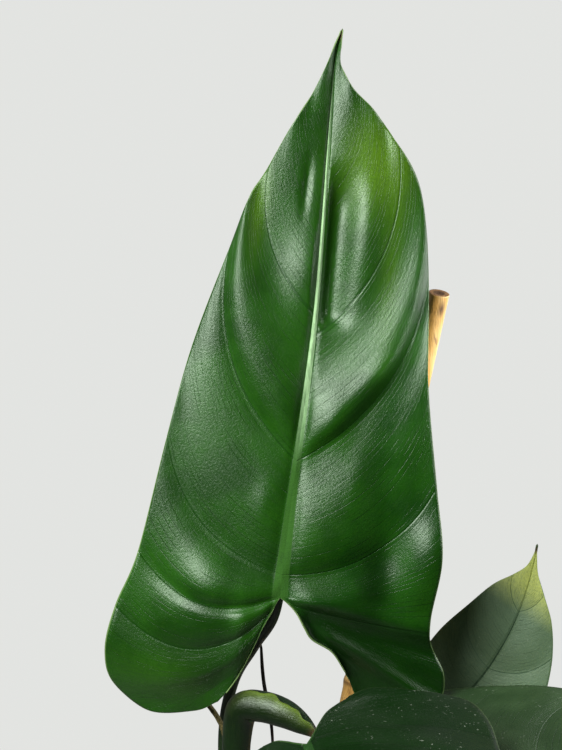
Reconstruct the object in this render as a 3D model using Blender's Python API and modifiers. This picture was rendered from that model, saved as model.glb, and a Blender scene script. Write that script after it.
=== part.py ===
"""A potted philodendron: arrow-shaped leaves on a short stem, tied to a bamboo stake in a plain pot.

Metres, +Z up. The origin is the centre of the pot's base. The large leaf faces -Y.
Each leaf is laid out flat in its own blade frame, in millimetres: +Y runs along the midrib from the
petiole (0, 0) to the tip, X is across and Z is out of the upper side. It is then bent and posed.
"""

import math

import bmesh
import bpy
from mathutils import Matrix, Vector

# ---- driving dimensions, metres ------------------------------------------------------------------
POT_HEIGHT = 0.150
POT_TOP_RADIUS = 0.082
POT_BASE_RADIUS = 0.062
POT_WALL = 0.0055
POT_FLOOR = 0.008
RIM_HEIGHT = 0.020
RIM_PROUD = 0.004
SOIL_TOP = 0.128
SOIL_DOME = 0.004
FIT_GAP = 0.0004
TURNED_STEPS = 48

STAKE_FOOT = Vector((-0.0140, 0.020, 0.020))
STAKE_HEAD = Vector((0.0955, 0.0225, 0.5745))
STAKE_RADIUS = 0.0053
STAKE_JOINTS = (0.36, 0.62, 0.87)
JOINT_SWELL = 1.09
JOINT_HALF = 0.004

STEM_BASE = Vector((-0.002, -0.004, 0.095))
STEM_NODES = (
    Vector((-0.001, -0.004, 0.150)),
    Vector((0.000, -0.002, 0.172)),
    Vector((-0.003, -0.003, 0.193)),
    Vector((-0.005, -0.003, 0.213)),
)
STEM_RADIUS = 0.0075
NODE_SWELL = 1.18

TIE_HEIGHT = 0.164
TIE_BAND = 0.0016
TIE_WIDTH = 0.010

BLADE_THICKNESS = 0.0008
ROWS_PER_RIB = 2
STEPS_ACROSS = 6
PETIOLE_END_GAP = 0.0031
MM = 0.001

# ---- blades --------------------------------------------------------------------------------------
# A rib is a lateral vein's path: where it leaves the midrib (below 0: the rib along the sinus), where it
# meets the margin, both as x, y, z in millimetres, and how far it bows, as a share of its chord.
# Ribs run from the tip, down the midrib and round the basal lobe to the sinus.
MIDRIB = ((0, 279, -14), (-2, 262, -10.5), (-1.4, 243, -8), (-0.4, 213.8, -5), (1.2, 173.6, -3.5),
          (2.2, 136.3, -3), (1.8, 101, -2.5), (0.8, 66, -1.5), (0.2, 36, -0.5), (-0.2, 11, 0), (0, 0, 0))
LEFT_SINUS_RIB = ((-2.6, -6, -0.6), (-6, -14, -1.8), (-9, -23, -4), (-12.6, -33, -6.4), (-16.6, -42.5, -8.6),
                  (-21, -50.5, -10.4))
RIGHT_SINUS_RIB = ((5, -3, -0.6), (9.5, -7.4, -1.3), (13.4, -13.2, -2.4), (18, -19.2, -5.5), (28.5, -25.2, -11),
                   (36.6, -35.6, -17))
LEFT_MARGIN = ((0, 279, -14), (-3, 268.5, -10), (-6.2, 257.7, -7), (-12.4, 240.8, -4.5), (-21, 223.2, -3),
               (-28.6, 205.6, -3), (-36, 189.8, -4), (-42.9, 165.2, -5.5), (-55.7, 116.4, -6), (-62.9, 71, -6),
               (-70.8, 14.2, -7), (-79.2, -13.6, -9), (-82.4, -37, -13), (-77.2, -54.2, -20),
               (-58.8, -66.8, -25), (-36, -63.6, -19), (-24.5, -56.2, -12.6))
RIGHT_MARGIN = ((0, 279, -14), (0.2, 270, -10.5), (1.4, 259.4, -8.5), (8, 249, -7), (19.7, 239.2, -6.5),
                (29.3, 228, -7), (45.7, 205.1, -7.5), (54.7, 163, -7), (59.6, 112.1, -5), (70, 60.5, -7),
                (75.8, 26, -6), (75.4, -12, -17), (86.5, -34, -20), (85.4, -50, -26),
                (68.6, -56.8, -30), (51, -53.6, -30), (42.8, -48.5, -27))
LEFT_BOW = (0, 0.03, 0.06, 0.09, 0.12, 0.13, 0.14, 0.14, 0.15, 0.16, 0.2, 0.26, 0.22, 0.15, 0.07, -0.03, 0)
RIGHT_BOW = (0, 0.03, 0.06, 0.1, 0.13, 0.14, 0.14, 0.13, 0.14, 0.15, 0.1, 0.02, 0, -0.04, -0.1, -0.1, 0)

# The younger leaves share one even outline, drawn at the large leaf's length and scaled.
PLAIN_MIDRIB = (279, 255, 228, 198, 165, 120, 75, 35, 8, 0)
PLAIN_SINUS_RIB = ((2.5, -6), (6, -15), (10, -26), (15, -38), (23, -50))
PLAIN_MARGIN = ((0, 279), (2.5, 264), (7, 249), (18, 232), (34, 209), (48, 174), (60, 130), (68, 88), (74, 46),
                (79, 8), (83, -22), (80, -47), (65, -64), (44, -67), (28, -56))
PLAIN_BOW = (0, 0.04, 0.08, 0.12, 0.14, 0.15, 0.15, 0.15, 0.17, 0.2, 0.2, 0.16, 0.08, -0.02, 0)
UPPER_HALF = 120


def clear_scene():
    for obj in list(bpy.data.objects):
        bpy.data.objects.remove(obj, do_unlink=True)


def material(name, color, roughness):
    made = bpy.data.materials.new(name)
    made.use_nodes = True
    shader = made.node_tree.nodes["Principled BSDF"]
    shader.inputs["Base Color"].default_value = (*color, 1)
    shader.inputs["Roughness"].default_value = roughness
    shader.inputs["Metallic"].default_value = 0
    return made


def mesh_object(name, bm, surface):
    mesh = bpy.data.meshes.new(name)
    bm.to_mesh(mesh)
    bm.free()
    obj = bpy.data.objects.new(name, mesh)
    bpy.context.scene.collection.objects.link(obj)
    obj.data.materials.append(surface)
    return obj


def spline(points, at):
    """A smooth curve through the points, at a place counted in points from the first."""
    last = len(points) - 1
    i = min(int(at), last - 1)
    f = at - i
    b, c = Vector(points[i]), Vector(points[i + 1])
    a = Vector(points[i - 1]) if i else 2 * b - c
    e = Vector(points[i + 2]) if i + 2 <= last else 2 * c - b
    return 0.5 * (2 * b + (c - a) * f + (2 * a - 5 * b + 4 * c - e) * f**2 + (3 * b - a - 3 * c + e) * f**3)


def sampled(points, count):
    last = len(points) - 1
    return [spline(points, last * i / (count - 1)) for i in range(count)]


def turned(name, profile, surface):
    """A solid of revolution: the profile's (radius, height) points, from the axis round to the axis."""
    bm = bmesh.new()
    verts = [bm.verts.new((radius, 0, height)) for radius, height in profile]
    for a, b in zip(verts, verts[1:]):
        bm.edges.new((a, b))
    obj = mesh_object(name, bm, surface)
    screw = obj.modifiers.new("turned", "SCREW")
    screw.steps = screw.render_steps = TURNED_STEPS
    screw.use_merge_vertices = True
    screw.merge_threshold = 0.00005
    screw.use_normal_calculate = True
    return obj


def tube(name, points, radii, surface, sides=3):
    """A round tube along the points, with a radius at each."""
    curve = bpy.data.curves.new(name, "CURVE")
    curve.dimensions = "3D"
    curve.bevel_depth = 1.0
    curve.bevel_resolution = sides
    curve.use_fill_caps = True
    line = curve.splines.new("POLY")
    line.points.add(len(points) - 1)
    for point, place, radius in zip(line.points, points, radii):
        point.co = (*place, 1)
        point.radius = radius
    obj = bpy.data.objects.new(name, curve)
    bpy.context.scene.collection.objects.link(obj)
    obj.data.materials.append(surface)
    return obj


def smooth_tube(name, route, radii, count, surface, sides=3):
    thickness = [value.x for value in sampled([Vector((radius, 0, 0)) for radius in radii], count)]
    return tube(name, sampled(route, count), thickness, surface, sides)


def rib_point(root, end, bow, side, across):
    """A place along one rib, which leaves the midrib at root, bows to the base side and ends at the margin."""
    chord = end - root
    away = Vector((chord.y, -chord.x, 0)) * side
    middle = (root + end) / 2 + 2 * bow * away
    middle.z = (root.z + end.z) / 2
    return (1 - across) ** 2 * root + 2 * across * (1 - across) * middle + across**2 * end


def half_blade(bm, midrib, sinus_rib, margin, bows, side):
    """One side of a blade as a grid, from the tip round to the sinus and from the midrib to the margin."""
    last = len(margin) - 1
    fork = len(midrib) - 1
    grid = bmesh.ops.create_grid(bm, x_segments=ROWS_PER_RIB * last, y_segments=STEPS_ACROSS, size=0.5)
    spread = [Vector((bow, 0, 0)) for bow in bows]
    for vert in grid["verts"]:
        at = (vert.co.x + 0.5) * last
        across = vert.co.y + 0.5
        root = spline(midrib, at) if at < fork + 0.01 else spline(midrib[-1:] + sinus_rib, at - fork)
        vert.co = rib_point(root, spline(margin, at), spline(spread, at).x, side, across)


def bent(point, droop, lobe_droop):
    """The flat blade bent along its midrib: degrees per 100 mm towards the tip, and over the lobes."""
    turn = math.radians(droop if point.y > 0 else lobe_droop) / 100
    angle = turn * point.y
    along = math.sin(angle) / turn + point.z * math.sin(angle)
    out = (math.cos(angle) - 1) / turn + point.z * math.cos(angle)
    return Vector((point.x, along, out))


def blade_axes(place, tip, face):
    """The matrix from the blade frame to the world: tip is its +Y, and face is nearest its +Z."""
    along = tip.normalized()
    out = (face - face.dot(along) * along).normalized()
    across = along.cross(out)
    turn = Matrix((across, along, out)).transposed().to_4x4()
    return Matrix.Translation(place) @ turn @ Matrix.Scale(MM, 4)


def blade(name, halves, axes, surface, droop=0.001, lobe_droop=0.001):
    """halves: for each side, -1 or 1, its midrib, sinus rib, margin and bows."""
    bm = bmesh.new()
    for side, lines in halves.items():
        half_blade(bm, *lines, side)
    for vert in bm.verts:
        vert.co = axes @ bent(vert.co, droop, lobe_droop)
    bmesh.ops.remove_doubles(bm, verts=bm.verts, dist=0.00002)
    bmesh.ops.recalc_face_normals(bm, faces=bm.faces)
    obj = mesh_object(name, bm, surface)
    solidify = obj.modifiers.new("thickness", "SOLIDIFY")
    solidify.thickness = BLADE_THICKNESS
    solidify.offset = 0
    return obj


def plain_halves(width, length, fold, sweep=0.0, lobe_widths=(1.0, 1.0)):
    """Both sides of a younger leaf, from the left. fold: how far each side falls away from the midrib, per unit
    of width. sweep: how far the midrib curves to the right halfway along, in millimetres. lobe_widths: how much
    of its width each side keeps over the lobe."""
    tip = PLAIN_MIDRIB[0]
    halves = {}
    for side, slope, lobe_width in ((-1, fold[0], lobe_widths[0]), (1, fold[1], lobe_widths[1])):

        def placed(x, y, side=side, slope=slope, lobe_width=lobe_width):
            curve = 4 * sweep * (y / tip) * (1 - y / tip)
            upper = min(max(y / UPPER_HALF, 0), 1)
            out = x * width * (lobe_width + (1 - lobe_width) * upper)
            return Vector((side * out + curve, y * length, -slope * out))

        halves[side] = (
            [placed(0, y) for y in PLAIN_MIDRIB],
            [placed(x, y) for x, y in PLAIN_SINUS_RIB],
            [placed(x, y) for x, y in PLAIN_MARGIN],
            PLAIN_BOW,
        )
    return halves


def petiole(name, route, axes, base_radius, surface):
    """A leaf stalk, from its node on the stem to just behind the blade."""
    out = axes.to_3x3().col[2].normalized()
    end = axes.translation - PETIOLE_END_GAP * out
    radii = (base_radius * 1.35, base_radius, base_radius * 0.85, base_radius * 0.72)
    stations = [Vector(place) for place in route] + [end]
    share = [radii[min(i, 3)] for i in range(len(stations))]
    return smooth_tube(name, stations, share, 22, surface)


def pot(surface):
    outer_top = POT_TOP_RADIUS
    under_rim = POT_TOP_RADIUS - RIM_PROUD
    inner_top = under_rim - POT_WALL
    inner_base = POT_BASE_RADIUS - POT_WALL
    return turned("pot", (
        (0, 0),
        (POT_BASE_RADIUS - 0.003, 0),
        (POT_BASE_RADIUS, 0.003),
        (under_rim - 0.0004, POT_HEIGHT - RIM_HEIGHT),
        (outer_top - 0.001, POT_HEIGHT - RIM_HEIGHT + 0.001),
        (outer_top, POT_HEIGHT - RIM_HEIGHT + 0.004),
        (outer_top, POT_HEIGHT - 0.003),
        (outer_top - 0.003, POT_HEIGHT),
        (inner_top + 0.002, POT_HEIGHT),
        (inner_top, POT_HEIGHT - 0.002),
        (inner_base, POT_FLOOR),
        (0, POT_FLOOR),
    ), surface)


def inner_radius(height):
    """The pot's inner wall at this height."""
    top = POT_TOP_RADIUS - RIM_PROUD - POT_WALL
    base = POT_BASE_RADIUS - POT_WALL
    share = (height - POT_FLOOR) / (POT_HEIGHT - 0.002 - POT_FLOOR)
    return base + (top - base) * share


def cutter(name, start, end, radius):
    """A capped cylinder that only cuts."""
    bm = bmesh.new()
    length = (end - start).length
    turn = (end - start).to_track_quat("Z", "Y").to_matrix().to_4x4()
    bmesh.ops.create_cone(bm, cap_ends=True, segments=20, radius1=radius, radius2=radius, depth=length,
                          matrix=Matrix.Translation((start + end) / 2) @ turn)
    mesh = bpy.data.meshes.new(name)
    bm.to_mesh(mesh)
    bm.free()
    obj = bpy.data.objects.new(name, mesh)
    cutters.objects.link(obj)
    obj.hide_render = True
    obj.display_type = "WIRE"
    return obj


def soil(surface):
    edge = inner_radius(SOIL_TOP) - FIT_GAP
    obj = turned("soil", (
        (0, POT_FLOOR + FIT_GAP),
        (inner_radius(POT_FLOOR) - FIT_GAP, POT_FLOOR + FIT_GAP),
        (edge, SOIL_TOP),
        (edge * 0.9, SOIL_TOP + SOIL_DOME * 0.4),
        (edge * 0.55, SOIL_TOP + SOIL_DOME),
        (0, SOIL_TOP + SOIL_DOME),
    ), surface)
    above = SOIL_TOP + 0.05
    along = (STAKE_HEAD - STAKE_FOOT).normalized()
    stake_out = STAKE_FOOT + along * (above - STAKE_FOOT.z) / along.z
    stem_out = STEM_NODES[0] + Vector((0, 0, 0.03))
    holes = (
        cutter("stake_hole", STAKE_FOOT - along * FIT_GAP, stake_out, STAKE_RADIUS + FIT_GAP),
        cutter("stem_hole", STEM_BASE - Vector((0, 0, FIT_GAP)), stem_out, STEM_RADIUS * 1.3 + FIT_GAP),
    )
    for hole in holes:
        cut = obj.modifiers.new(hole.name, "BOOLEAN")
        cut.operation = "DIFFERENCE"
        cut.solver = "EXACT"
        cut.object = hole
    return obj


def stem(surface):
    """The short main stem: a swollen ring at each node, where a petiole leaves."""
    places = [STEM_BASE]
    radii = [STEM_RADIUS]
    for node in STEM_NODES:
        for lift, swell in ((-0.006, 1.0), (0, NODE_SWELL), (0.006, 1.0)):
            places.append(node + Vector((0, 0, lift)))
            radii.append(STEM_RADIUS * swell)
    radii[-1] = STEM_RADIUS * 0.8
    return tube("main_stem", places, radii, surface, sides=4)


def bamboo_stake(surface):
    """A length of cane: even between its joints, with a low ring at each."""
    span = (STAKE_HEAD - STAKE_FOOT).length
    places = [STAKE_FOOT]
    radii = [STAKE_RADIUS]
    for share in STAKE_JOINTS:
        for step, swell in ((-1, 1.0), (0, JOINT_SWELL), (1, 1.0)):
            places.append(STAKE_FOOT.lerp(STAKE_HEAD, share + step * JOINT_HALF / span))
            radii.append(STAKE_RADIUS * swell)
    places.append(STAKE_HEAD)
    radii.append(STAKE_RADIUS)
    return tube("bamboo_stake", places, radii, surface, sides=4)


def stake_centre(height):
    share = (height - STAKE_FOOT.z) / (STAKE_HEAD.z - STAKE_FOOT.z)
    return STAKE_FOOT.lerp(STAKE_HEAD, share)


def tie(name, height, surface):
    """A soft band looped round the stake and the stem, closed on itself."""
    stake = stake_centre(height)
    trunk = (STEM_NODES[0] + STEM_NODES[1]) / 2
    reach = stake - trunk
    reach.z = 0
    heading = math.atan2(reach.y, reach.x)
    stem_turn = STEM_RADIUS + TIE_BAND + 0.0012
    stake_turn = STAKE_RADIUS + TIE_BAND + 0.0012
    loop = []
    for centre, radius, start in ((trunk, stem_turn, heading + math.pi / 2), (stake, stake_turn, heading - math.pi / 2)):
        for i in range(9):
            angle = start + math.pi * i / 8
            loop.append((centre.x + radius * math.cos(angle), centre.y + radius * math.sin(angle)))
    bm = bmesh.new()
    low = [bm.verts.new((x, y, height - TIE_WIDTH / 2)) for x, y in loop]
    high = [bm.verts.new((x, y, height + TIE_WIDTH / 2)) for x, y in loop]
    for i, a in enumerate(low):
        b = (i + 1) % len(low)
        bm.faces.new((a, low[b], high[b], high[i]))
    bmesh.ops.recalc_face_normals(bm, faces=bm.faces)
    obj = mesh_object(name, bm, surface)
    solidify = obj.modifiers.new("band", "SOLIDIFY")
    solidify.thickness = TIE_BAND
    solidify.offset = 0
    return obj


clear_scene()
cutters = bpy.data.collections.new("cutters")
bpy.context.scene.collection.children.link(cutters)
cutters.hide_render = True

leaf_green = material("leaf_green", (0.045, 0.13, 0.03), 0.32)
young_green = material("young_green", (0.06, 0.15, 0.03), 0.35)
stalk_green = material("stalk_green", (0.03, 0.07, 0.015), 0.4)
stem_bark = material("stem_bark", (0.09, 0.10, 0.05), 0.7)
root_brown = material("root_brown", (0.10, 0.08, 0.03), 0.7)
dry_brown = material("dry_brown", (0.02, 0.015, 0.01), 0.7)
bamboo = material("bamboo", (0.59, 0.34, 0.10), 0.45)
potting_mix = material("potting_mix", (0.035, 0.022, 0.014), 0.95)
pot_ceramic = material("pot_ceramic", (0.62, 0.60, 0.56), 0.5)
tie_green = material("tie_green", (0.03, 0.07, 0.03), 0.8)

pot(pot_ceramic)
soil(potting_mix)
bamboo_stake(bamboo)
stem(stem_bark)
tie("stake_tie", TIE_HEIGHT, tie_green)

large_axes = blade_axes(Vector((0.014, -0.045, 0.435)), Vector((0.110, 0.173, 0.979)), Vector((0, -0.985, 0.174)))
front_axes = blade_axes(Vector((0.025, -0.137, 0.405)), Vector((0.17, -0.985, 0)), Vector((-0.45, -0.08, 0.87)))
right_axes = blade_axes(Vector((0.093, -0.076, 0.3620)), Vector((0.97, -0.1, 0.25)), Vector((-0.1, -0.3, 0.95)))
back_axes = blade_axes(Vector((0.0885, 0.0210, 0.3330)), Vector((0.48, -0.04, 0.876)), Vector((-0.33, -0.93, 0.14)))

blade("large_leaf_blade", {
    -1: (MIDRIB, LEFT_SINUS_RIB, LEFT_MARGIN, LEFT_BOW),
    1: (MIDRIB, RIGHT_SINUS_RIB, RIGHT_MARGIN, RIGHT_BOW),
}, large_axes, leaf_green)
blade("front_leaf_blade", plain_halves(0.88, 0.84, (0.6, 0.6)), front_axes, leaf_green, droop=10, lobe_droop=3)
blade("right_leaf_blade", plain_halves(0.83, 0.75, (0.15, 0.2)), right_axes, leaf_green, droop=25, lobe_droop=17)
blade("back_leaf_blade", plain_halves(0.535, 0.445, (0, -0.03), 13, (0.6, 0.95)), back_axes, leaf_green, droop=7, lobe_droop=10)

petiole("large_leaf_petiole", (
    (-0.0098, 0.000, 0.2200), (-0.014, -0.003, 0.280), (-0.0155, -0.006, 0.345), (-0.0100, -0.012, 0.378),
    (0.0008, -0.021, 0.401),
), large_axes, 0.0034, stalk_green)
petiole("front_leaf_petiole", (
    (0.004, -0.013, 0.196), (0.010, -0.040, 0.255), (0.018, -0.085, 0.320), (0.022, -0.117, 0.368),
), front_axes, 0.0032, stalk_green)
petiole("right_leaf_petiole", (
    (0.0122, -0.007, 0.176), (0.036, -0.028, 0.238), (0.066, -0.050, 0.302), (0.082, -0.064, 0.334),
), right_axes, 0.0030, stalk_green)
petiole("back_leaf_petiole", (
    (0.0130, -0.004, 0.152), (0.040, 0.005, 0.205), (0.068, 0.019, 0.265), (0.083, 0.027, 0.308),
), back_axes, 0.0022, stalk_green)

smooth_tube("new_leaf_roll", (
    (-0.004, -0.012, 0.226), (-0.007, -0.020, 0.280), (-0.008, -0.026, 0.335), (-0.0075, -0.029, 0.357),
    (-0.004, -0.032, 0.371), (0.005, -0.036, 0.3755), (0.016, -0.041, 0.3745), (0.025, -0.046, 0.3710),
    (0.033, -0.051, 0.3665),
), (0.0050, 0.0062, 0.0070, 0.0074, 0.0078, 0.0080, 0.0074, 0.0052, 0.0010), 33, young_green, sides=4)

smooth_tube("aerial_root", (
    (-0.0135, -0.003, 0.190), (-0.021, -0.008, 0.240), (-0.018, -0.014, 0.310), (-0.014, -0.018, 0.350),
    (-0.026, -0.016, 0.372), (-0.040, -0.012, 0.384), (-0.050, -0.010, 0.380),
), (0.0016, 0.0014, 0.0012, 0.0011, 0.0010, 0.0009, 0.0006), 26, root_brown, sides=2)
smooth_tube("dry_sheath", (
    (0.0035, -0.006, 0.222), (0.0095, -0.006, 0.290), (0.010, -0.007, 0.345), (0.0055, -0.010, 0.378),
    (0.0042, -0.0125, 0.400),
), (0.0012, 0.0010, 0.0009, 0.0008, 0.0006), 20, dry_brown, sides=2)
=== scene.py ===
import math
import random

import bmesh
import bpy
from mathutils import Matrix, Vector, noise


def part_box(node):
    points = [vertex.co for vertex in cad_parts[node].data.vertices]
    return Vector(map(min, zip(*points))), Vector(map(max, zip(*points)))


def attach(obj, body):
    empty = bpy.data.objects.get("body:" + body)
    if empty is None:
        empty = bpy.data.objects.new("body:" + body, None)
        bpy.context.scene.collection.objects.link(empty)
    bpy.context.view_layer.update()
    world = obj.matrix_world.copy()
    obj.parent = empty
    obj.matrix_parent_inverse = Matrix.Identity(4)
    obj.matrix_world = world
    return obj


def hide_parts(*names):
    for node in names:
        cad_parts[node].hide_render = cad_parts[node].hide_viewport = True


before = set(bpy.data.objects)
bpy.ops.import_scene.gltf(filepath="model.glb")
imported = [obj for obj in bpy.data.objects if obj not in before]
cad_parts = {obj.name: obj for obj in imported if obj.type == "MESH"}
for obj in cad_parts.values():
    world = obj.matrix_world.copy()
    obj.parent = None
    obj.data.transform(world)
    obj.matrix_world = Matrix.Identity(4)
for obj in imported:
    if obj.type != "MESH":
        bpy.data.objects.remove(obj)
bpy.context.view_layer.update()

# ---- the pot -------------------------------------------------------------------------------------
# A plain tapered stoneware pot with a rolled rim. It is thrown, turned at the foot and dipped in a
# matt off-white glaze, which thins on the rim and stops short of the foot, where the clay shows.
MM = 0.001
POT_STEPS = 128
POT_WELD = 0.00001
BARE_FROM, BARE_BELOW = 0.0072, 0.0066
POT_PROFILE = ((0, 2.2), (50, 2.2), (51.5, 1.6), (53, 0.5), (55, 0), (60, 0), (61.6, 0.8), (62.1, 2.4),
               (62.6, 9), (65.6, 46), (68.6, 83), (71.8, 118), (73.3, 128.4), (73.9, 130.4),
               (75.5, 131.6), (78.2, 132.2), (80.6, 133.2), (81.7, 135.2), (82, 138), (81.9, 144),
               (81.1, 147.6), (79.2, 149.6), (77, 150), (74.4, 149.4), (72.9, 147.6), (72.4, 144),
               (71.4, 128), (66, 70), (57.4, 14), (54, 9.4), (48, 8), (0, 8))


def piece(name, bm, finishes, slot, *stands_for):
    """Makes the bmesh a finished piece, which rides on the root and stands for the CAD nodes named."""
    mesh = bpy.data.meshes.new(name)
    bm.to_mesh(mesh)
    bm.free()
    mesh.shade_smooth()
    obj = bpy.data.objects.new(name, mesh)
    bpy.context.scene.collection.objects.link(obj)
    for finish in finishes:
        mesh.materials.append(finish)
    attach(obj, "root")
    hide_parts(*stands_for)
    return obj


def add(finish, kind, inputs, **settings):
    """Adds a shader node. An input is a value, or another node's socket."""
    made = finish.node_tree.nodes.new("ShaderNode" + kind)
    for key, value in settings.items():
        setattr(made, key, value)
    for key, value in inputs.items():
        if isinstance(value, bpy.types.NodeSocket):
            finish.node_tree.links.new(value, made.inputs[key])
        else:
            made.inputs[key].default_value = value
    return made


def sums(finish, operation, a, b):
    return add(finish, "Math", {0: a, 1: b}, operation=operation).outputs[0]


def mixed(finish, factor, a, b):
    """A colour between a and b."""
    return add(finish, "Mix", {0: factor, 6: a, 7: b}, data_type="RGBA").outputs[2]


def fade(finish, value, start, end, low=0.0, high=1.0):
    """A smooth step: low before start, high after end."""
    steps = {0: value, 1: start, 2: end, 3: low, 4: high}
    return add(finish, "MapRange", steps, interpolation_type="SMOOTHSTEP").outputs[0]


def clouds(finish, where, scale, detail=3.0, roughness=0.55):
    inputs = {"Vector": where, "Scale": scale, "Detail": detail, "Roughness": roughness}
    return add(finish, "TexNoise", inputs).outputs["Fac"]


def stretched(finish, where, x, y, z):
    """The place scaled along each axis, so a pattern on it is drawn out along the smallest."""
    return add(finish, "Mapping", {0: where, 3: (x, y, z)}).outputs[0]


def bumped(finish, height, distance, under=None):
    inputs = {"Height": height, "Distance": distance, "Strength": 1.0}
    if under:
        inputs["Normal"] = under
    return add(finish, "Bump", inputs).outputs[0]


def shaded(name, roughness, specular=0.5, tint=(1, 1, 1, 1), **sockets):
    """A new finish, its shader, and the place on the piece."""
    finish = bpy.data.materials.new(name)
    finish.use_nodes = True
    shader = finish.node_tree.nodes["Principled BSDF"]
    shader.inputs["Roughness"].default_value = roughness
    shader.inputs["Specular IOR Level"].default_value = specular
    shader.inputs["Specular Tint"].default_value = tint
    for key, value in sockets.items():
        shader.inputs[key.replace("_", " ")].default_value = value
    return finish, shader, add(finish, "TexCoord", {}).outputs["Object"]


def wire(finish, shader, **sockets):
    """Links each named socket of the shader to what drives it."""
    for key, value in sockets.items():
        finish.node_tree.links.new(value, shader.inputs[key.replace("_", " ")])


glaze, shader, place = shaded("matt_white_glaze", 0.5)
height = add(glaze, "SeparateXYZ", {0: place}).outputs[2]
specks = fade(glaze, clouds(glaze, place, 900, 2), 0.66, 0.72)
mottle = clouds(glaze, place, 38, 4)
coat = mixed(glaze, fade(glaze, mottle, 0.35, 0.65), (0.58, 0.56, 0.51, 1), (0.68, 0.66, 0.61, 1))
coat = mixed(glaze, sums(glaze, "MULTIPLY", specks, 0.55), coat, (0.16, 0.11, 0.07, 1))
foot_line = sums(glaze, "ADD", height, sums(glaze, "MULTIPLY", mottle, 0.004))
bare = fade(glaze, foot_line, BARE_FROM, BARE_BELOW)
coat = mixed(glaze, bare, coat, (0.36, 0.24, 0.15, 1))
rings = clouds(glaze, stretched(glaze, place, 6, 6, 420), 1, 2)
relief = bumped(glaze, rings, 0.0005)
relief = bumped(glaze, clouds(glaze, place, 260, 3), 0.0003, relief)
wire(glaze, shader, Base_Color=coat, Normal=relief, Roughness=fade(glaze, bare, 0, 1, 0.42, 0.85))

bm = bmesh.new()
verts = [bm.verts.new((radius * MM, 0, up * MM)) for radius, up in POT_PROFILE]
edges = [bm.edges.new(pair) for pair in zip(verts, verts[1:])]
bmesh.ops.spin(bm, geom=verts + edges, cent=(0, 0, 0), axis=(0, 0, 1), angle=math.tau,
                steps=POT_STEPS, use_merge=True)
bmesh.ops.remove_doubles(bm, verts=bm.verts, dist=POT_WELD)
bmesh.ops.recalc_face_normals(bm, faces=bm.faces)
piece("glazed_pot", bm, [glaze], "pot", "pot")

# ---- the potting mix -----------------------------------------------------------------------------
# A loose, bark-based aroid mix, filled to a finger's width under the rim. Its top is uneven, with chips
# of fir bark, crumbs of coir and white perlite lying on it.
SOIL_EDGE = 0.128
SOIL_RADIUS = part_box("soil")[1].x + 0.0012
SOIL_DOME, SOIL_ROUGHNESS = 0.0035, 0.0016
SOIL_CELLS = 150
SKIRT_DEPTH, SKIRT_TAPER = 0.02, 0.93  # the taper keeps the skirt inside the pot's wall
CRUMB_REACH, CRUMB_SINK, CRUMB_LEAN, CRUMB_GNARL = 0.97, 0.15, 0.5, 0.22
random.seed(11)
noise.seed_set(11)  # noise_vector draws its offsets from this, and from the clock if it is left out


def ground(x, y):
    """The height of the mix's top."""
    out = math.hypot(x, y) / SOIL_RADIUS
    rough = noise.fractal(Vector((x, y, 0.3)) * 130, 0.8, 2.1, 4)
    return SOIL_EDGE + SOIL_DOME * (1 - out**2) + SOIL_ROUGHNESS * rough


mix, shader, place = shaded("bark_mix", 0.95, 0.2)
grain = clouds(mix, place, 420, 5, 0.7)
dirt = mixed(mix, fade(mix, grain, 0.38, 0.64), (0.012, 0.007, 0.004, 1), (0.075, 0.044, 0.025, 1))
wire(mix, shader, Base_Color=dirt, Normal=bumped(mix, grain, 0.0012))
bm = bmesh.new()
bmesh.ops.create_grid(bm, x_segments=SOIL_CELLS, y_segments=SOIL_CELLS, size=1)
for vert in bm.verts:
    x, y = vert.co.x, vert.co.y
    x, y = x * math.sqrt(1 - y * y / 2) * SOIL_RADIUS, y * math.sqrt(1 - x * x / 2) * SOIL_RADIUS
    vert.co = (x, y, ground(x, y))
rim = [edge for edge in bm.edges if edge.is_boundary]
skirt = bmesh.ops.extrude_edge_only(bm, edges=rim)["geom"]
low = [item for item in skirt if isinstance(item, bmesh.types.BMVert)]
bmesh.ops.translate(bm, verts=low, vec=(0, 0, -SKIRT_DEPTH))
bmesh.ops.scale(bm, verts=low, vec=(SKIRT_TAPER, SKIRT_TAPER, 1))
bmesh.ops.holes_fill(bm, edges=[edge for edge in bm.edges if edge.is_boundary], sides=0)
bmesh.ops.recalc_face_normals(bm, faces=bm.faces)
piece("potting_mix", bm, [mix], "soil", "soil")

bark, shader, place = shaded("fir_bark", 0.85, 0.25)
chip_tone = clouds(bark, place, 55, 2)
fibres = clouds(bark, stretched(bark, place, 500, 2200, 900), 1, 3)
tone = mixed(bark, fade(bark, chip_tone, 0.35, 0.65), (0.045, 0.022, 0.012, 1), (0.16, 0.085, 0.042, 1))
tone = mixed(bark, fade(bark, fibres, 0.5, 0.8, 0, 0.5), tone, (0.02, 0.012, 0.008, 1))
wire(bark, shader, Base_Color=tone, Normal=bumped(bark, fibres, 0.0006))
perlite, shader, place = shaded("perlite", 0.8, 0.3)
pores = clouds(perlite, place, 1500, 3)
wire(perlite, shader, Normal=bumped(perlite, pores, 0.0005),
     Base_Color=mixed(perlite, pores, (0.5, 0.48, 0.43, 1), (0.86, 0.85, 0.8, 1)))


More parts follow.
